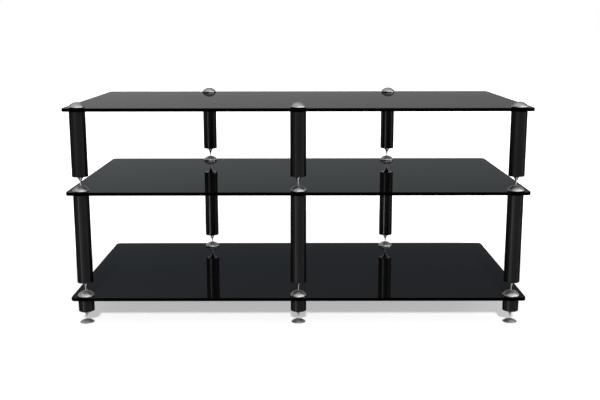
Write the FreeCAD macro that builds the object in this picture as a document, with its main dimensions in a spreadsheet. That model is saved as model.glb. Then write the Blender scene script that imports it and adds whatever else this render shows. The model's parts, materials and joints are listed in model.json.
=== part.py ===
import FreeCAD, Part
import os
import Sketcher
from types import SimpleNamespace

# A low rack for a screen and its players: three black glass shelves stand one above another on
# five round aluminium columns each. Every column ends below in a screwed-in spike, and the spike
# stands in a dimple in the crown of the domed cap on the shelf below, or of a disc on the floor.
# A stud under each cap goes down through the glass into the column, so cap and column clamp the
# glass between them. Millimetres, +Z up, +X to the right seen from the front, which faces -Y. The
# origin is on the floor under the middle of the shelves.
SIZES = {
    # glass shelves, all three alike
    "shelf_width": 1100.0,
    "shelf_depth": 550.0,
    "glass_thickness": 8.0,
    "glass_corner_radius": 12.0,
    "glass_arris": 0.6,
    "glass_hole_clearance": 1.0,
    # glass left between a cap and the shelf's edge
    "front_margin": 1.7,
    "side_margin": 13.7,
    "rear_margin": 15.7,
    "rear_column_spacing": 516.0,
    # columns
    "column_diameter": 38.0,
    "column_wall": 2.0,
    "column_foot_radius": 1.2,
    "column_head_chamfer": 0.5,
    "lower_column_length": 28.0,
    "middle_column_length": 215.0,
    "top_column_length": 154.0,
    # plugs pressed into both ends of each column
    "plug_fit": 0.02,
    # screw threads, drawn as plain cylinders
    "thread_diameter": 8.0,
    "thread_clearance": 0.05,
    "thread_end_chamfer": 0.8,
    "thread_end_gap": 0.6,
    # soft washers above and below the glass
    "washer_thickness": 0.8,
    "washer_inset": 1.5,
    "washer_clearance": 0.3,
    # domed caps on the shelves
    "cap_overhang": 0.3,
    "cap_height": 12.2,
    "cap_wall": 2.0,
    "cap_dome_radius": 23.2,
    "cap_shoulder_radius": 2.5,
    "cap_base_radius": 0.8,
    # the dimple in the crown of a cap or a floor disc, which holds a spike's tip
    "dimple_radius": 2.4,
    "dimple_floor_radius": 0.9,
    "dimple_depth": 0.6,
    # domed discs on the floor
    "disc_diameter": 35.0,
    "disc_height": 7.6,
    "disc_wall": 1.2,
    "disc_dome_radius": 26.8,
    "disc_shoulder_radius": 1.0,
    # spikes
    "spike_length": 22.4,
    "spike_tip_radius": 1.0,
    "spike_shoulder_radius": 8.5,
    "spike_shoulder_band": 0.8,
    "spike_flare_radius": 31.0,
    "tip_clearance": 0.3,
    "shoulder_clearance": 0.2,
}

# The short lower column is shared out between the plug in its head, the plug in its foot and air.
HEAD_PLUG_SHARE = 0.32
FOOT_PLUG_SHARE = 0.55

PLACES = ("front_left", "front_centre", "front_right", "rear_left", "rear_right")
DECKS = ("lower", "middle", "top")
FULL_TURN = 360

# Which way an arc bows, seen along the outline: to its right, away from the body, or to its left.
ROUND = 1
HOLLOW = -1

# Edges are found by place, to within this share of the smallest ground edge.
TOLERANCE_SHARE = 0.01


class Size:
    """A length in millimetres together with the sheet expression that gives it."""

    def __init__(self, value, words):
        self.value = value
        self.words = words

    def combined(self, sign, other, value):
        other_words = other.words if isinstance(other, Size) else str(other)
        return Size(value, f"({self.words} {sign} {other_words})")

    def __add__(self, other):
        return self.combined("+", other, self.value + other.value)

    def __sub__(self, other):
        return self.combined("-", other, self.value - other.value)

    def __mul__(self, share):
        return self.combined("*", share, self.value * share)

    def __truediv__(self, share):
        return self.combined("/", share, self.value / share)

    def __neg__(self):
        return Size(-self.value, f"(-{self.words})")


ZERO = Size(0.0, "0")
s = SimpleNamespace(**{name: Size(value, "Sizes." + name) for name, value in SIZES.items()})

column_radius = s.column_diameter / 2
bore_radius = column_radius - s.column_wall
cap_radius = column_radius + s.cap_overhang
disc_radius = s.disc_diameter / 2
thread_hole_radius = s.thread_diameter / 2
thread_radius = thread_hole_radius - s.thread_clearance
glass_hole_radius = thread_radius + s.glass_hole_clearance
head_plug_length = s.lower_column_length * HEAD_PLUG_SHARE
foot_plug_length = s.lower_column_length * FOOT_PLUG_SHARE
glass_stack = s.washer_thickness * 2 + s.glass_thickness
stud_length = glass_stack + head_plug_length - s.thread_end_gap
shank_length = foot_plug_length - s.thread_end_gap
tip_sink = s.dimple_depth - s.tip_clearance
tolerance = s.glass_arris.value * TOLERANCE_SHARE

half_width = s.shelf_width / 2
half_depth = s.shelf_depth / 2
side_x = half_width - s.side_margin - cap_radius
rear_x = s.rear_column_spacing / 2
front_y = -(half_depth - s.front_margin - cap_radius)
rear_y = half_depth - s.rear_margin - cap_radius
AXES = {
    "front_left": (-side_x, front_y),
    "front_centre": (ZERO, front_y),
    "front_right": (side_x, front_y),
    "rear_left": (-rear_x, rear_y),
    "rear_right": (rear_x, rear_y),
}

doc = FreeCAD.newDocument("rack")
nodes = []


def fill_sheet():
    """The driving dimensions, one row each: its name, and its number under an alias."""
    sheet = doc.addObject("Spreadsheet::Sheet", "Sizes")
    for row, (name, value) in enumerate(SIZES.items(), start=1):
        sheet.set(f"A{row}", name)
        sheet.set(f"B{row}", str(value))
        sheet.setAlias(f"B{row}", name)
    doc.recompute()


def bind(item, prop, size):
    """Ties a property to the sheet; a plain zero stays as it is."""
    if size is not ZERO:
        item.setExpression(prop, size.words)


def place(item, x, y, z):
    bind(item, "Placement.Base.x", x)
    bind(item, "Placement.Base.y", y)
    bind(item, "Placement.Base.z", z)


def new_body(name, x, y, z):
    """An empty body for one sub-part, which becomes a node of its own."""
    body = doc.addObject("PartDesign::Body", name)
    body.Label = name
    place(body, x, y, z)
    nodes.append(body)
    return body


def new_sketch(body, role):
    """A sketch on one of its body's own origin planes."""
    sketch = body.newObject("Sketcher::SketchObject", body.Name + "_sketch")
    plane = [item for item in body.Origin.OriginFeatures if item.Role == role][0]
    sketch.AttachmentSupport = (plane, [""])
    sketch.MapMode = "FlatFace"
    return sketch


def constrain(sketch, kind, *ends, size):
    index = sketch.addConstraint(Sketcher.Constraint(kind, *ends, size.value))
    sketch.setExpression(f"Constraints[{index}]", size.words)


def fix_point(sketch, geometry, end, x, y):
    """Holds one end or centre at its distances from the sketch's origin."""
    for kind, axis, size in (("DistanceX", -2, x), ("DistanceY", -1, y)):
        if size is ZERO:
            sketch.addConstraint(Sketcher.Constraint("PointOnObject", geometry, end, axis))
        else:
            constrain(sketch, kind, -1, 1, geometry, end, size=size)


def vector(x, y):
    return FreeCAD.Vector(x.value, y.value, 0)


def draw_outline(sketch, corners, arcs=()):
    """A closed outline through the corners, given as pairs of sizes.

    arcs holds (index, radius, way): the side that leaves that corner is an arc of that radius,
    which bows that way, ROUND or HOLLOW. A sketch numbers the ends of a HOLLOW one backwards.
    """
    bows = {index: (radius, way) for index, radius, way in arcs}
    ends = [(1, 2)] * len(corners)
    for index, _, way in arcs:
        if way == HOLLOW:
            ends[index] = (2, 1)
    for index, corner in enumerate(corners):
        following = corners[(index + 1) % len(corners)]
        start, end = vector(*corner), vector(*following)
        if index in bows:
            radius, way = bows[index]
            side = sketch.addGeometry(Part.Arc(start, crest(start, end, radius.value, way), end))
            constrain(sketch, "Radius", side, size=radius)
        else:
            side = sketch.addGeometry(Part.LineSegment(start, end))
        fix_point(sketch, side, ends[index][0], *corner)
    for index in range(len(corners)):
        following = (index + 1) % len(corners)
        sketch.addConstraint(
            Sketcher.Constraint("Coincident", index, ends[index][1], following, ends[following][0])
        )


def crest(start, end, radius, way):
    """The middle of an arc of that radius from start to end, which bows that way."""
    chord = end - start
    half = chord.Length / 2
    rise = radius - (radius**2 - half**2) ** 0.5
    across = FreeCAD.Vector(chord.y, -chord.x, 0).normalize()
    return start + chord / 2 + across * rise * way


def revolve(body, corners, arcs=()):
    """Turns an outline in the XZ plane round the body's own Z axis."""
    sketch = new_sketch(body, "XZ_Plane")
    draw_outline(sketch, corners, arcs)
    turned = body.newObject("PartDesign::Revolution", body.Name + "_turned")
    turned.Profile = sketch
    turned.ReferenceAxis = (sketch, ["V_Axis"])
    turned.Angle = FULL_TURN
    doc.recompute()
    return turned


def pad(body, sketch, length):
    solid = body.newObject("PartDesign::Pad", body.Name + "_pad")
    solid.Profile = sketch
    bind(solid, "Length", length)
    doc.recompute()
    return solid


def dress(body, kind, prop, size, chosen):
    """A fillet or chamfer on the edges of the body's last feature that chosen picks."""
    base = body.Tip
    names = [f"Edge{number}" for number, edge in enumerate(base.Shape.Edges, 1) if chosen(edge)]
    if not names:
        raise RuntimeError(f"{body.Name}: no edge found for its {kind}")
    feature = body.newObject("PartDesign::" + kind, f"{body.Name}_{kind.lower()}")
    feature.Base = (base, names)
    bind(feature, prop, size)
    doc.recompute()


def ring_at(radius, height):
    """Picks the round edge of that radius at that height."""

    def chosen(edge):
        box = edge.BoundBox
        flat = abs(box.ZMin - height.value) < tolerance and abs(box.ZMax - height.value) < tolerance
        return flat and abs(box.XMax - radius.value) < tolerance

    return chosen


def draw_circle(sketch, x, y, radius):
    circle = sketch.addGeometry(Part.Circle(vector(x, y), FreeCAD.Vector(0, 0, 1), radius.value))
    fix_point(sketch, circle, 3, x, y)
    constrain(sketch, "Radius", circle, size=radius)


def shelf(deck, z):
    """A plate of glass with rounded corners, ground edges and a hole over each column."""
    body = new_body(deck + "_shelf", ZERO, ZERO, z)
    outline = new_sketch(body, "XY_Plane")
    draw_outline(
        outline,
        [
            (-half_width, -half_depth),
            (half_width, -half_depth),
            (half_width, half_depth),
            (-half_width, half_depth),
        ],
    )
    pad(body, outline, s.glass_thickness)
    dress(body, "Fillet", "Radius", s.glass_corner_radius, upright)
    dress(body, "Chamfer", "Size", s.glass_arris, level)
    before = body.Shape.Volume
    holes = new_sketch(body, "XY_Plane")
    for x, y in AXES.values():
        draw_circle(holes, x, y, glass_hole_radius)
    drilled = body.newObject("PartDesign::Pocket", body.Name + "_holes")
    drilled.Profile = holes
    drilled.Type = "ThroughAll"
    drilled.Midplane = True
    doc.recompute()
    if body.Shape.Volume >= before:
        raise RuntimeError(f"{body.Name}: the holes cut nothing")


def upright(edge):
    return edge.BoundBox.ZLength > s.glass_thickness.value - tolerance


def level(edge):
    return edge.BoundBox.ZLength < tolerance


def column(deck, where, z, length):
    """A length of round tube, rounded round its foot and broken at its head."""
    body = new_body(f"{deck}_column_{where}", *AXES[where], z)
    section = new_sketch(body, "XY_Plane")
    draw_circle(section, ZERO, ZERO, column_radius)
    draw_circle(section, ZERO, ZERO, bore_radius)
    pad(body, section, length)
    dress(body, "Fillet", "Radius", s.column_foot_radius, ring_at(column_radius, ZERO))
    dress(body, "Chamfer", "Size", s.column_head_chamfer, ring_at(column_radius, length))


def dimple(crown):
    """The corners of the dimple in a crown at that height, from its edge to the middle."""
    return [
        (s.dimple_radius, crown),
        (s.dimple_floor_radius, crown - s.dimple_depth),
        (ZERO, crown - s.dimple_depth),
    ]


def cap(deck, where, glass_top):
    """A domed cap with its stud, which reaches down through the glass into the column's head."""
    base = glass_top + s.washer_thickness
    body = new_body(f"{deck}_cap_{where}", *AXES[where], base - stud_length)
    shoulder = stud_length + s.cap_wall
    revolve(
        body,
        [
            (ZERO, ZERO),
            (thread_radius - s.thread_end_chamfer, ZERO),
            (thread_radius, s.thread_end_chamfer),
            (thread_radius, stud_length),
            (cap_radius, stud_length),
            (cap_radius, shoulder),
            *dimple(stud_length + s.cap_height),
        ],
        arcs=[(5, s.cap_dome_radius, ROUND)],
    )
    dress(body, "Fillet", "Radius", s.cap_shoulder_radius, ring_at(cap_radius, shoulder))
    dress(body, "Fillet", "Radius", s.cap_base_radius, ring_at(cap_radius, stud_length))


def floor_disc(where):
    """A low domed disc that keeps a spike off the floor."""
    body = new_body(f"floor_disc_{where}", *AXES[where], ZERO)
    revolve(
        body,
        [(ZERO, ZERO), (disc_radius, ZERO), (disc_radius, s.disc_wall), *dimple(s.disc_height)],
        arcs=[(2, s.disc_dome_radius, ROUND)],
    )
    dress(body, "Fillet", "Radius", s.disc_shoulder_radius, ring_at(disc_radius, s.disc_wall))


def spike(deck, where, z):
    """A flared point with a screwed shank; its shoulder stops under the column's foot."""
    body = new_body(f"{deck}_spike_{where}", *AXES[where], z)
    end = s.spike_length + shank_length
    revolve(
        body,
        [
            (ZERO, ZERO),
            (s.spike_tip_radius, ZERO),
            (s.spike_shoulder_radius, s.spike_length - s.spike_shoulder_band),
            (s.spike_shoulder_radius, s.spike_length),
            (thread_radius, s.spike_length),
            (thread_radius, end - s.thread_end_chamfer),
            (thread_radius - s.thread_end_chamfer, end),
            (ZERO, end),
        ],
        arcs=[(1, s.spike_flare_radius, HOLLOW)],
    )


def cylinder(name, radius, height, x, y, z):
    solid = doc.addObject("Part::Cylinder", name)
    bind(solid, "Radius", radius)
    bind(solid, "Height", height)
    place(solid, x, y, z)
    return solid


def ring(name, outer, inner, height, x, y, z):
    """A flat ring: a cylinder less the cylinder of its hole."""
    cut = doc.addObject("Part::Cut", name)
    cut.Base = cylinder(name + "_outside", outer, height, x, y, z)
    cut.Tool = cylinder(name + "_hole", inner, height, x, y, z)
    return cut


def group(name, members):
    """One node that holds several alike, separate solids."""
    node = doc.addObject("Part::Compound", name)
    node.Label = name
    node.Links = members
    nodes.append(node)


def plugs(deck, column_foot, column_head):
    """The threaded plugs pressed into the foot and the head of each column of a deck."""
    outer = bore_radius - s.plug_fit
    members = []
    for where, (x, y) in AXES.items():
        for end, length, z in (
            ("foot", foot_plug_length, column_foot),
            ("head", head_plug_length, column_head - head_plug_length),
        ):
            name = f"{deck}_{end}_plug_{where}"
            members.append(ring(name, outer, thread_hole_radius, length, x, y, z))
    group(deck + "_column_plugs", members)


def washers(deck, glass_bottom, glass_top):
    """The soft washers that keep the metal off the glass, below it and above it."""
    outer = column_radius - s.washer_inset
    inner = thread_radius + s.washer_clearance
    members = []
    for where, (x, y) in AXES.items():
        for side, z in (("under", glass_bottom - s.washer_thickness), ("over", glass_top)):
            name = f"{deck}_{side}_washer_{where}"
            members.append(ring(name, outer, inner, s.washer_thickness, x, y, z))
    group(deck + "_glass_washers", members)


def deck(name, tip, length):
    """One shelf on its five columns, with the spikes' tips at that height.

    Returns the height at which the tips of the deck above stand in this deck's caps.
    """
    foot = tip + s.spike_length + s.shoulder_clearance
    head = foot + length
    glass_bottom = head + s.washer_thickness
    glass_top = glass_bottom + s.glass_thickness
    shelf(name, glass_bottom)
    for where in PLACES:
        column(name, where, foot, length)
        spike(name, where, tip)
        cap(name, where, glass_top)
    plugs(name, foot, head)
    washers(name, glass_bottom, glass_top)
    return glass_top + s.washer_thickness + s.cap_height - tip_sink


def check():
    """Stops at any feature that failed and at any sub-part without one good shape."""
    for item in doc.Objects:
        if "Invalid" in item.State or "Error" in item.State:
            raise RuntimeError(f"{item.Name} failed: {item.State}")
    for node in nodes:
        if node.Shape.isNull() or not node.Shape.isValid() or not node.Shape.Solids:
            raise RuntimeError(f"{node.Label} has no valid solid")


def export():
    os.makedirs("parts", exist_ok=True)
    for node in nodes:
        node.Shape.exportStep(f"parts/{node.Label}.step")
    print(f"{len(nodes)} nodes, {sum(len(node.Shape.Solids) for node in nodes)} solids")


fill_sheet()
for corner in PLACES:
    floor_disc(corner)
tips = s.disc_height - tip_sink
for level_name in DECKS:
    tips = deck(level_name, tips, getattr(s, level_name + "_column_length"))
doc.recompute()
check()
export()
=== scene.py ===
import json
import math

import bpy
from mathutils import Matrix, Vector

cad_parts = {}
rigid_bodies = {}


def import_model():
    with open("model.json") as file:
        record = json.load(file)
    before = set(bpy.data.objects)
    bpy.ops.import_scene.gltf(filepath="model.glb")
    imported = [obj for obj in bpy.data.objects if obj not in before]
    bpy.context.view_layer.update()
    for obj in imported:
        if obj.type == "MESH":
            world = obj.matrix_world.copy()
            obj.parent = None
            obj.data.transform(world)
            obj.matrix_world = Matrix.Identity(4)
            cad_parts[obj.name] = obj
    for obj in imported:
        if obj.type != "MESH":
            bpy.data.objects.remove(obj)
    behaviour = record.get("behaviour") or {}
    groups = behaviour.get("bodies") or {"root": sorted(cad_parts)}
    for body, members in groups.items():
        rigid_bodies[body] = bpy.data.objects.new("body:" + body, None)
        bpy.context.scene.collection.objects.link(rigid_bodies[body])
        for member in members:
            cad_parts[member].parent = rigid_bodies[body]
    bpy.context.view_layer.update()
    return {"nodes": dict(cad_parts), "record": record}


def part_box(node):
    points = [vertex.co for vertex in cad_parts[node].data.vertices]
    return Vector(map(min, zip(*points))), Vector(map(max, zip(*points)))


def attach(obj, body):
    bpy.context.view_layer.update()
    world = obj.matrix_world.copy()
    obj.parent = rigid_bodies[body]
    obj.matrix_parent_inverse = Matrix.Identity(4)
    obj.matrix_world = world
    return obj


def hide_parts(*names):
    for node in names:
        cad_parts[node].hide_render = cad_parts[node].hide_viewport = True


# The looks of a low rack: black glass shelves on satin black columns, which stand on chromed
# spikes on domed chrome caps and floor discs. Lengths are in metres, apart from those of the
# turned outlines, which are in millimetres.
MM = 0.001

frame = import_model()
DECKS = ("lower", "middle", "top")
PLACES = ("front_left", "front_centre", "front_right", "rear_left", "rear_right")

# Cap: heights are above its underside.
CAP_RADIUS = 19.3
CAP_HEIGHT = 12.2
CAP_WALL = 2.0
CAP_DOME_RADIUS = 23.2
CAP_SHOULDER_RADIUS = 2.5
CAP_BASE_RADIUS = 0.8
# Floor disc.
DISC_RADIUS = 17.5
DISC_HEIGHT = 7.6
DISC_WALL = 1.2
DISC_DOME_RADIUS = 26.8
DISC_SHOULDER_RADIUS = 1.0
# The dimple in a crown.
DIMPLE_RADIUS = 2.4
DIMPLE_FLOOR_RADIUS = 0.9
DIMPLE_DEPTH = 0.6
# Spike: heights above its tip.
SPIKE_LENGTH = 22.4
SPIKE_END = 37.2
SPIKE_TIP_RADIUS = 1.0
SPIKE_SHOULDER_RADIUS = 8.5
SPIKE_SHOULDER_BAND = 0.8
SPIKE_FLARE_RADIUS = 31.0
# Screwed shanks and studs.
THREAD_RADIUS = 3.95
THREAD_CHAMFER = 0.8
THREAD_PITCH = 1.25
# The small rounding that the lathe leaves on an edge.
SOFT_EDGE = 0.25
# How finely the turned meshes are divided.
SEGMENTS = 128
BOW_STEPS = 30
ROUNDING_STEPS = 10
SHARP_ANGLE = math.radians(38)
# The point of a dome's arc, counted from its foot, that the rounding of its shoulder heads for.
SHOULDER_AHEAD = 3
# Which way an arc bows, seen along the outline.
ROUND = 1
HOLLOW = -1

# A face of the glass that leans more than this is a ground edge: 0 is level and 1 is upright.
EDGE_LEAN = 0.1

# The floor lies just under the discs. Its glow to the eye is lower near the rack, where the
# shadow has to show, and rises behind it by so much for each metre.
FLOOR_REACH = 60.0
FLOOR_GAP = 0.05 * MM
FLOOR_PAINT = 0.66
FLOOR_GLOW_NEAR = 0.44
FLOOR_GLOW_FAR = 1.0
FLOOR_GLOW_START = 0.38
FLOOR_GLOW_RISE = 8.0

# The room's level for plain surfaces.
ROOM_LEVEL = 0.28
# To gloss, the room's right side is lighter than its middle in front, and darker behind.
FRONT_LEAN = 0.6
REAR_LEAN = -0.5
REAR_SHARPNESS = 4.0
# A ray deeper than this is gloss seen by way of another gloss, and finds the room this much darker.
MIRRORED_TWICE_DEPTH = 2.5
MIRRORED_TWICE_LOSS = 0.85

# The row of columns, and the levels of the strip and the fill that light that row alone.
COLUMN_LIGHTS = (
    ("lower_column", 80.0, 1.6),
    ("middle_column_front", 40.0, 2.1),
    ("middle_column_rear", 210.0, 1.9),
    ("middle_column_plugs", 80.0, 1.6),
    ("top_column_front", 12.0, 0.8),
    ("top_column_rear", 90.0, 1.6),
    ("top_column_plugs", 80.0, 1.6),
)
STRIP_PLACE = (-2.4, -3.3, 0.5)
STRIP_SIZE = (0.26, 1.0)
FILL_PLACE = (-1.5, -3.6, 1.6)
FILL_SIZE = (2.6, 2.4)
RACK_MIDDLE = (0.0, 0.0, 0.25)
# The strip for the rear caps: how far it hangs in front of them and above their glass.
CAP_STRIP_AHEAD = 0.12
CAP_STRIP_RISE = 0.14

# The camera looks down by a small angle and is turned and rolled a little, in radians.
CAMERA_PLACE = (0.005214, -2.29307, 0.70685)
CAMERA_LENS = 52.336
CAMERA_DOWN = 0.1953
CAMERA_TURN = 0.00057
CAMERA_ROLL = -0.0013
CAMERA_REACH = 300.0


class Value:
    """An output socket of a node, written like a number in sums."""

    def __init__(self, recipe, socket):
        self.recipe = recipe
        self.socket = socket

    def math(self, operation, *terms):
        settings = {"operation": operation}
        return self.recipe.node("ShaderNodeMath", settings, dict(enumerate(terms)))

    def __add__(self, other):
        return self.math("ADD", self, other)

    __radd__ = __add__

    def __sub__(self, other):
        return self.math("SUBTRACT", self, other)

    def __rsub__(self, other):
        return self.math("SUBTRACT", other, self)

    def __mul__(self, other):
        return self.math("MULTIPLY", self, other)

    __rmul__ = __mul__

    def __truediv__(self, other):
        return self.math("DIVIDE", self, other)

    def __rtruediv__(self, other):
        return self.math("DIVIDE", other, self)

    def __abs__(self):
        return self.math("ABSOLUTE", self)

    def above(self, edge):
        """1 where it is more than the edge, else 0."""
        return self.math("GREATER_THAN", self, edge)

    def clipped(self):
        """Kept between 0 and 1."""
        return self.math("MINIMUM", self.math("MAXIMUM", self, 0.0), 1.0)


class Recipe:
    """The node tree of one material, or of the world."""

    def __init__(self, owner):
        owner.use_nodes = True
        self.tree = owner.node_tree
        self.tree.nodes.clear()
        is_world = isinstance(owner, bpy.types.World)
        self.output = "ShaderNodeOutputWorld" if is_world else "ShaderNodeOutputMaterial"

    def node(self, kind, settings=None, inputs=None, output=0):
        """Adds a node: first its settings, then the values or links of its sockets."""
        made = self.tree.nodes.new(kind)
        for name, value in (settings or {}).items():
            if name == "stops":
                set_stops(made.color_ramp, value)
            else:
                setattr(made, name, value)
        for name, value in (inputs or {}).items():
            if isinstance(value, Value):
                self.tree.links.new(value.socket, made.inputs[name])
            else:
                made.inputs[name].default_value = value
        return Value(self, made.outputs[output]) if made.outputs else None

    def coordinates(self):
        """A point's place on its own piece, in metres."""
        return self.node("ShaderNodeTexCoord", output="Object")

    def stretched(self, x, y, z):
        """The piece's own coordinates times a scale on each axis."""
        inputs = {"Vector": self.coordinates(), "Scale": (x, y, z)}
        return self.node("ShaderNodeMapping", inputs=inputs)

    def parts_of(self, vector):
        """The three numbers of a vector."""
        split = self.node("ShaderNodeSeparateXYZ", inputs={"Vector": vector})
        outputs = split.socket.node.outputs
        return [Value(self, outputs[axis]) for axis in ("X", "Y", "Z")]

    def rays(self, *kinds):
        """1 for a ray of one of these kinds, else 0."""
        return sum(self.node("ShaderNodeLightPath", output=kind) for kind in kinds).clipped()

    def noise(self, vector, scale, detail):
        inputs = {"Vector": vector, "Scale": scale, "Detail": detail}
        return self.node("ShaderNodeTexNoise", inputs=inputs)

    def ramp(self, factor, stops):
        return self.node("ShaderNodeValToRGB", {"stops": stops}, {"Fac": factor})

    def blend(self, share, first, second):
        """Two colours mixed, share of the second."""
        inputs = {0: share, 6: first, 7: second}
        return self.node("ShaderNodeMix", {"data_type": "RGBA"}, inputs, output=2)

    def bump(self, height, distance):
        return self.node("ShaderNodeBump", inputs={"Height": height, "Distance": distance})

    def principled(self, inputs):
        return self.node("ShaderNodeBsdfPrincipled", inputs=inputs)

    def either(self, share, first, second):
        """Two shaders mixed, share of the second."""
        return self.node("ShaderNodeMixShader", inputs={0: share, 1: first, 2: second})

    def surface(self, shader):
        self.node(self.output, inputs={"Surface": shader})


def set_stops(color_ramp, stops):
    elements = color_ramp.elements
    while len(elements) < len(stops):
        elements.new(1.0)
    for element, (position, colour) in zip(elements, stops):
        element.position = position
        element.color = (*colour, 1.0)


def new_recipe(name):
    material = bpy.data.materials.new(name)
    return material, Recipe(material)


def grey(level):
    return (level, level, level)


def tinted(level):
    """A grey for a socket that takes four numbers."""
    return (*grey(level), 1.0)


# Finishes


def black_glass():
    """Polished opaque black glass with ground edges and the faintest smears and specks."""
    material, recipe = new_recipe("black_glass")
    smears = recipe.noise(recipe.stretched(1.0, 3.0, 1.0), 5.0, 3.0)
    specks = (recipe.noise(recipe.coordinates(), 900.0, 1.0) - 0.68).clipped()
    face = recipe.principled(
        {
            "Base Color": tinted(0.004),
            "Roughness": 0.016 + smears * 0.02 + specks * 0.2,
            "IOR": 1.5,
        }
    )
    grinding = recipe.noise(recipe.stretched(40.0, 40.0, 1200.0), 1.0, 2.0)
    edge = recipe.principled(
        {
            "Base Color": tinted(0.0006),
            "Roughness": 0.3 + grinding * 0.2,
            "Specular IOR Level": 0.0,
        }
    )
    _, _, upward = recipe.parts_of(recipe.node("ShaderNodeNewGeometry", output="Normal"))
    is_edge = (1.0 - abs(upward)).above(EDGE_LEAN)
    recipe.surface(recipe.either(is_edge, face, edge))
    return material


def black_aluminium():
    """Satin black anodised tube, turned: fine rings spread a light along it and not around it."""
    material, recipe = new_recipe("black_aluminium")
    rings = recipe.noise(recipe.stretched(40.0, 40.0, 2600.0), 1.0, 3.0)
    cloud = recipe.noise(recipe.stretched(18.0, 18.0, 6.0), 1.0, 3.0)
    colours = [(0.3, (0.015, 0.0155, 0.0153)), (0.7, (0.020, 0.0205, 0.0203))]
    tube = recipe.principled(
        {
            "Base Color": recipe.ramp(cloud, colours),
            "Metallic": 1.0,
            "Specular Tint": tinted(0.4),
            "Roughness": 0.36 + rings * 0.05 + cloud * 0.04,
            "Anisotropic": 0.9,
            "Anisotropic Rotation": 0.25,
            "Normal": recipe.bump(rings, 0.002 * MM),
        }
    )
    recipe.surface(tube)
    return material


def turned_metal(name, light, dark, roughness, marks):
    """Metal off a lathe: fine rings, as deep as marks, round the piece's own axis."""
    material, recipe = new_recipe(name)
    x, y, z = recipe.parts_of(recipe.coordinates())
    across = recipe.node(
        "ShaderNodeVectorMath",
        {"operation": "LENGTH"},
        {0: recipe.node("ShaderNodeCombineXYZ", inputs={"X": x, "Y": y})},
        output="Value",
    )
    along = recipe.node("ShaderNodeCombineXYZ", inputs={"X": across, "Z": z})
    rings = recipe.noise(along, 3400.0, 2.0)
    bands = recipe.noise(along, 420.0, 2.0)
    cloud = recipe.noise(recipe.coordinates(), 120.0, 2.0)
    metal = recipe.principled(
        {
            "Base Color": recipe.blend(bands, tinted(dark), tinted(light)),
            "Metallic": 1.0,
            "Roughness": roughness + rings * 0.08 + cloud * 0.04,
            "Normal": recipe.bump(rings, marks),
        }
    )
    recipe.surface(metal)
    return material


def spike_chrome():
    """Bright chrome with a black edge tint, which is painted shade on its slanting sides, and a
    screw thread round the shank above the shoulder.
    """
    material, recipe = new_recipe("spike_chrome")
    x, y, z = recipe.parts_of(recipe.coordinates())
    turn = recipe.node("ShaderNodeMath", {"operation": "ARCTAN2"}, {0: y, 1: x}) / math.tau
    climb = z / (THREAD_PITCH * MM) + turn
    groove = climb.math("PINGPONG", climb, 0.5) * 2.0
    shank = z.above((SPIKE_LENGTH + THREAD_CHAMFER) * MM)
    cloud = recipe.noise(recipe.coordinates(), 160.0, 2.0)
    colours = [(0.3, (0.5, 0.5, 0.51)), (0.7, (0.58, 0.58, 0.59))]
    point = recipe.principled(
        {
            "Base Color": recipe.ramp(cloud, colours),
            "Metallic": 1.0,
            # The black edge tint is painted shade: it darkens the spike's slanting sides, which
            # stand in for dark surroundings mirrored there.
            "Specular Tint": tinted(0.0),
            "Roughness": 0.07 + cloud * 0.04 + shank * 0.12,
            "Normal": recipe.bump(groove * shank, 0.6 * MM),
        }
    )
    recipe.surface(point)
    return material


def plug_aluminium():
    """Turned aluminium, anodised black as the tubes are."""
    material, recipe = new_recipe("plug_aluminium")
    marks = recipe.noise(recipe.stretched(300.0, 300.0, 4000.0), 1.0, 2.0)
    plug = recipe.principled(
        {
            "Base Color": recipe.ramp(marks, [(0.3, grey(0.02)), (0.7, grey(0.03))]),
            "Metallic": 1.0,
            "Roughness": 0.3 + marks * 0.15,
            "Normal": recipe.bump(marks, 0.01 * MM),
        }
    )
    recipe.surface(plug)
    return material


def washer_rubber():
    """Dull black rubber with a fine grain."""
    material, recipe = new_recipe("washer_rubber")
    grain = recipe.noise(recipe.coordinates(), 2600.0, 3.0)
    washer = recipe.principled(
        {
            "Base Color": recipe.ramp(grain, [(0.3, grey(0.012)), (0.7, grey(0.022))]),
            "Roughness": 0.75 + grain * 0.15,
            "Normal": recipe.bump(grain, 0.02 * MM),
        }
    )
    recipe.surface(washer)
    return material


# Outlines of the turned pieces


def swing(centre, arm, sweep, steps):
    """Points along an arc: the arm's end, as the arm swings round the centre."""
    turns = [Matrix.Rotation(sweep * step / steps, 2) for step in range(steps + 1)]
    return [tuple(centre + turn @ arm) for turn in turns]


def bow(start, end, radius, way):
    """Points of the arc of that radius from start to end, which bows that way."""
    first, last = Vector(start), Vector(end)
    chord = last - first
    reach = (radius**2 - (chord.length / 2) ** 2) ** 0.5
    left = Vector((-chord.y, chord.x)).normalized()
    centre = first + chord / 2 + left * reach * way
    sweep = way * 2 * math.asin(chord.length / 2 / radius)
    return swing(centre, first - centre, sweep, BOW_STEPS)


def rounded(corner, before, after, radius):
    """Points of a small rounding at a corner between the straight ways to its two neighbours."""
    here = Vector(corner)
    back, ahead = (Vector(before) - here).normalized(), (Vector(after) - here).normalized()
    half = back.angle(ahead) / 2
    centre = here + (back + ahead).normalized() * radius / math.sin(half)
    arm = here + back * radius / math.tan(half) - centre
    way = 1 if arm.cross(ahead) > 0 else -1
    return swing(centre, arm, way * (math.pi - 2 * half), ROUNDING_STEPS)


def dome(radius, wall, crown, dome_radius, shoulder_radius):
    """From the outer wall over a rounded shoulder and the dome to the middle of its dimple."""
    shell = bow((radius, wall), (DIMPLE_RADIUS, crown), dome_radius, ROUND)
    shoulder = rounded((radius, wall), (radius, 0.0), shell[SHOULDER_AHEAD], shoulder_radius)
    inside = shoulder[-1][0]
    return [
        *shoulder,
        *(point for point in shell if DIMPLE_RADIUS < point[0] < inside),
        (DIMPLE_RADIUS + SOFT_EDGE, crown),
        (DIMPLE_RADIUS - SOFT_EDGE / 2, crown - SOFT_EDGE / 2),
        (DIMPLE_FLOOR_RADIUS, crown - DIMPLE_DEPTH),
        (0.0, crown - DIMPLE_DEPTH),
    ]


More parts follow.
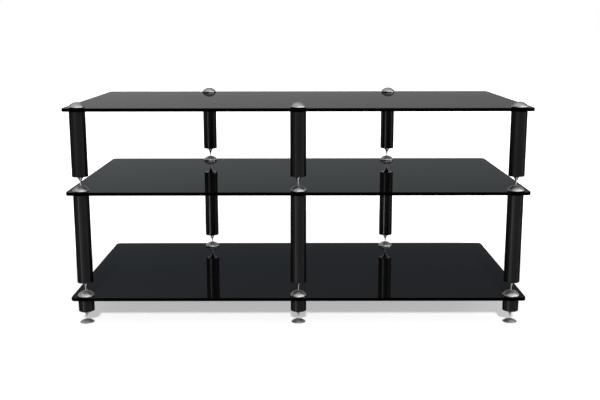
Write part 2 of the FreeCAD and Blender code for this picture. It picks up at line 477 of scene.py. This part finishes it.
def cap_outline(stud):
    """A cap from the end of its stud to the middle of its crown; height 0 is its underside."""
    base = (CAP_RADIUS, 0.0)
    return [
        (0.0, -stud),
        (THREAD_RADIUS - THREAD_CHAMFER, -stud),
        (THREAD_RADIUS, THREAD_CHAMFER - stud),
        (THREAD_RADIUS, 0.0),
        *rounded(base, (0.0, 0.0), (CAP_RADIUS, CAP_WALL), CAP_BASE_RADIUS),
        *dome(CAP_RADIUS, CAP_WALL, CAP_HEIGHT, CAP_DOME_RADIUS, CAP_SHOULDER_RADIUS),
    ]


def disc_outline():
    """A floor disc from the middle of its underside to the middle of its crown."""
    return [
        (0.0, 0.0),
        (DISC_RADIUS - SOFT_EDGE, 0.0),
        (DISC_RADIUS, SOFT_EDGE),
        *dome(DISC_RADIUS, DISC_WALL, DISC_HEIGHT, DISC_DOME_RADIUS, DISC_SHOULDER_RADIUS),
    ]


def spike_outline():
    """A flared point from its tip to the end of its shank."""
    shoulder = (SPIKE_SHOULDER_RADIUS, SPIKE_LENGTH - SPIKE_SHOULDER_BAND)
    return [
        (0.0, 0.0),
        *bow((SPIKE_TIP_RADIUS, 0.0), shoulder, SPIKE_FLARE_RADIUS, HOLLOW),
        (SPIKE_SHOULDER_RADIUS, SPIKE_LENGTH - SOFT_EDGE),
        (SPIKE_SHOULDER_RADIUS - SOFT_EDGE, SPIKE_LENGTH),
        (THREAD_RADIUS, SPIKE_LENGTH),
        (THREAD_RADIUS, SPIKE_END - THREAD_CHAMFER),
        (THREAD_RADIUS - THREAD_CHAMFER, SPIKE_END),
        (0.0, SPIKE_END),
    ]


# Pieces


def add(name, data):
    """A new object in the scene."""
    made = bpy.data.objects.new(name, data)
    bpy.context.scene.collection.objects.link(made)
    return made


def lathe(name, outline, finish):
    """A mesh turned round the Z axis from an outline of (radius, height) in millimetres."""
    points, rings = [], []
    for radius, height in outline:
        count = SEGMENTS if radius else 1
        rings.append([len(points) + step % count for step in range(SEGMENTS)])
        for step in range(count):
            angle = math.tau * step / SEGMENTS
            reach = radius * MM
            points.append((reach * math.cos(angle), reach * math.sin(angle), height * MM))
    faces = []
    for low, high in zip(rings, rings[1:]):
        for step in range(SEGMENTS):
            following = (step + 1) % SEGMENTS
            corners = [low[step], low[following], high[following], high[step]]
            faces.append(list(dict.fromkeys(corners)))
    mesh = bpy.data.meshes.new(name)
    mesh.from_pydata(points, [], faces)
    mesh.shade_smooth()
    mesh.set_sharp_from_angle(angle=SHARP_ANGLE)
    mesh.materials.append(finish)
    return mesh


def set_piece(node, body, mesh, below=0.0):
    """Stands a turned mesh, which reaches so far below its height 0, in a node's place."""
    low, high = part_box(node)
    piece = add(node + "_turned", mesh.copy())
    piece.location = ((low.x + high.x) / 2, (low.y + high.y) / 2, low.z + below)
    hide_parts(node)
    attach(piece, body)


def dress_solids(finishes):
    """Gives each solid the finish that the record names for it."""
    for entry in frame["record"]["subparts"]:
        materials = frame["nodes"][entry["node"]].data.materials
        materials.clear()
        materials.append(finishes[entry["material_slot"]])


def set_turned_pieces(finishes):
    """Caps, spikes and floor discs, each on the axis of its column."""
    low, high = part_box("top_cap_front_left")
    stud = (high.z - low.z) / MM - CAP_HEIGHT
    cap_mesh = lathe("cap", cap_outline(stud), finishes["cap_chrome"])
    spike_mesh = lathe("spike", spike_outline(), finishes["spike_chrome"])
    disc_mesh = lathe("floor_disc", disc_outline(), finishes["disc_chrome"])
    for where in PLACES:
        disc = "floor_disc_" + where
        set_piece(disc, disc, disc_mesh)
        for deck in DECKS:
            cap = f"{deck}_cap_{where}"
            set_piece(cap, deck + "_deck", cap_mesh, below=stud * MM)
            spike = f"{deck}_spike_{where}"
            set_piece(spike, spike, spike_mesh)


# Floor, light and camera


def lay_floor():
    """A wide pale floor: it keeps the rack's shadow, and glows white to the eye behind it."""
    mesh = bpy.data.meshes.new("floor")
    ways = ((-1, -1), (1, -1), (1, 1), (-1, 1))
    mesh.from_pydata([(x * FLOOR_REACH, y * FLOOR_REACH, 0) for x, y in ways], [], [(0, 1, 2, 3)])
    material, recipe = new_recipe("floor_paint")
    paint = recipe.node("ShaderNodeBsdfDiffuse", inputs={"Color": tinted(FLOOR_PAINT)})
    _, behind, _ = recipe.parts_of(recipe.coordinates())
    far = ((behind - FLOOR_GLOW_START) * FLOOR_GLOW_RISE).clipped()
    glow = recipe.node(
        "ShaderNodeEmission",
        inputs={
            "Color": recipe.blend(far, tinted(FLOOR_GLOW_NEAR), tinted(FLOOR_GLOW_FAR)),
            "Strength": recipe.rays("Is Camera Ray", "Is Glossy Ray", "Is Transmission Ray"),
        },
    )
    recipe.surface(recipe.node("ShaderNodeAddShader", inputs={0: paint, 1: glow}))
    mesh.materials.append(material)
    floor = add("floor", mesh)
    floor.location.z = -FLOOR_GAP


def light_room():
    """An even room for plain surfaces; gloss sees a pale horizon below a darker, graded wall."""
    world = bpy.data.worlds.new("room")
    bpy.context.scene.world = world
    recipe = Recipe(world)
    direction = recipe.node("ShaderNodeTexCoord", output="Generated")
    side, back, height = recipe.parts_of(direction)
    # Heights from the horizon, 0, to overhead, 1, and the colour that gloss sees there.
    behind = recipe.ramp(
        height,
        [
            (0.0, grey(1.0)),
            (0.03, grey(1.0)),
            (0.055, grey(0.25)),
            (0.0767, (0.203, 0.202, 0.202)),
            (0.162, (0.139, 0.158, 0.161)),
            (0.267, (0.064, 0.073, 0.085)),
            (0.42, grey(0.1)),
            (0.72, grey(0.3)),
            (1.0, grey(0.42)),
        ],
    )
    in_front = recipe.ramp(
        height,
        [
            (0.0, grey(0.1)),
            (0.3, grey(0.09)),
            (0.45, grey(0.45)),
            (0.6, grey(0.85)),
            (0.8, grey(0.75)),
            (1.0, grey(0.42)),
        ],
    )
    rear_share = (back * REAR_SHARPNESS + 0.5).clipped()
    wall = recipe.blend(rear_share, in_front, behind)
    leaning = 1.0 + side * (FRONT_LEAN - rear_share * (FRONT_LEAN - REAR_LEAN))
    depth = recipe.node("ShaderNodeLightPath", output="Ray Depth")
    lost = depth.above(MIRRORED_TWICE_DEPTH) * MIRRORED_TWICE_LOSS
    mirrored = recipe.node(
        "ShaderNodeBackground", inputs={"Color": wall, "Strength": leaning * (1.0 - lost)}
    )
    seen = recipe.rays("Is Camera Ray") * (1.0 - ROOM_LEVEL) + ROOM_LEVEL
    even = recipe.node("ShaderNodeBackground", inputs={"Color": tinted(1.0), "Strength": seen})
    gloss = recipe.rays("Is Glossy Ray", "Is Transmission Ray")
    recipe.surface(recipe.either(gloss, even, mirrored))


def aim(lamp, place, target):
    lamp.location = place
    lamp.rotation_euler = (Vector(target) - Vector(place)).to_track_quat("-Z", "Y").to_euler()


def hang_softbox(name, place, width, height, level, only=None, target=RACK_MIDDLE):
    """A soft light whose face is as bright as level, where 1 is white, perhaps for some alone."""
    lamp = bpy.data.lights.new(name, "AREA")
    lamp.shape = "RECTANGLE"
    lamp.size = width
    lamp.size_y = height
    lamp.energy = level * math.pi * width * height
    softbox = add(name, lamp)
    softbox.visible_camera = False
    softbox.light_linking.receiver_collection = only
    aim(softbox, place, target)


def hang_key(place, strength, width):
    """A wide, soft sun, width degrees across, that gloss doesn't mirror."""
    lamp = bpy.data.lights.new("key", "SUN")
    lamp.energy = strength
    lamp.angle = math.radians(width)
    sun = add("key", lamp)
    sun.visible_glossy = False
    aim(sun, place, (0.0, 0.0, 0.0))


def gather(name, word):
    """A collection of the objects that have the word in their names."""
    found = bpy.data.collections.new(name)
    for item in bpy.context.scene.objects:
        if word in item.name:
            found.objects.link(item)
    return found


def light_columns():
    """A tall strip and a wide fill for each row of columns."""
    for row, strip, fill in COLUMN_LIGHTS:
        columns = gather(row, row)
        hang_softbox(row + "_strip", STRIP_PLACE, *STRIP_SIZE, level=strip, only=columns)
        hang_softbox(row + "_fill", FILL_PLACE, *FILL_SIZE, level=fill, only=columns)


def light_rear_caps():
    """A low strip for the rear caps of each deck that has another deck above it."""
    for deck in DECKS[:-1]:
        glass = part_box(deck + "_shelf")[1].z
        low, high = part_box(deck + "_cap_rear_left")
        row = (low.y + high.y) / 2
        hang_softbox(
            deck + "_rear_caps_light",
            place=(0.0, row - CAP_STRIP_AHEAD, glass + CAP_STRIP_RISE),
            width=0.8,
            height=0.08,
            level=0.9,
            only=gather(deck + "_rear_caps", deck + "_cap_rear"),
            target=(0.0, row, glass),
        )


def light_all():
    """A front softbox for the metals alone, and a softbox and a key light for everything."""
    metals = gather("metals", "_turned")
    hang_softbox(
        "front_softbox", place=(1.2, -4.2, 1.1), width=3.6, height=1.8, level=1.5, only=metals
    )
    hang_softbox("right_softbox", place=(4.2, -0.8, 1.3), width=2.0, height=2.4, level=2.2)
    hang_key(place=(0.0, -3.0, 1.98), strength=3.9, width=6.0)


def place_camera():
    lens = bpy.data.cameras.new("camera")
    lens.lens = CAMERA_LENS
    lens.clip_end = CAMERA_REACH
    camera = add("camera", lens)
    camera.matrix_world = (
        Matrix.Translation(CAMERA_PLACE)
        @ Matrix.Rotation(CAMERA_TURN, 4, "Z")
        @ Matrix.Rotation(math.pi / 2 - CAMERA_DOWN, 4, "X")
        @ Matrix.Rotation(CAMERA_ROLL, 4, "Z")
    )
    bpy.context.scene.camera = camera


finishes = {
    "black_glass": black_glass(),
    "black_aluminium": black_aluminium(),
    "cap_chrome": turned_metal("cap_chrome", 0.84, 0.76, roughness=0.3, marks=0.004 * MM),
    "disc_chrome": turned_metal("disc_chrome", 0.84, 0.76, roughness=0.42, marks=0.006 * MM),
    "spike_chrome": spike_chrome(),
    "plug_aluminium": plug_aluminium(),
    "washer_rubber": washer_rubber(),
}
dress_solids(finishes)
set_turned_pieces(finishes)
lay_floor()
light_room()
light_columns()
light_rear_caps()
light_all()
place_camera()
bpy.context.scene.view_settings.view_transform = "Standard"
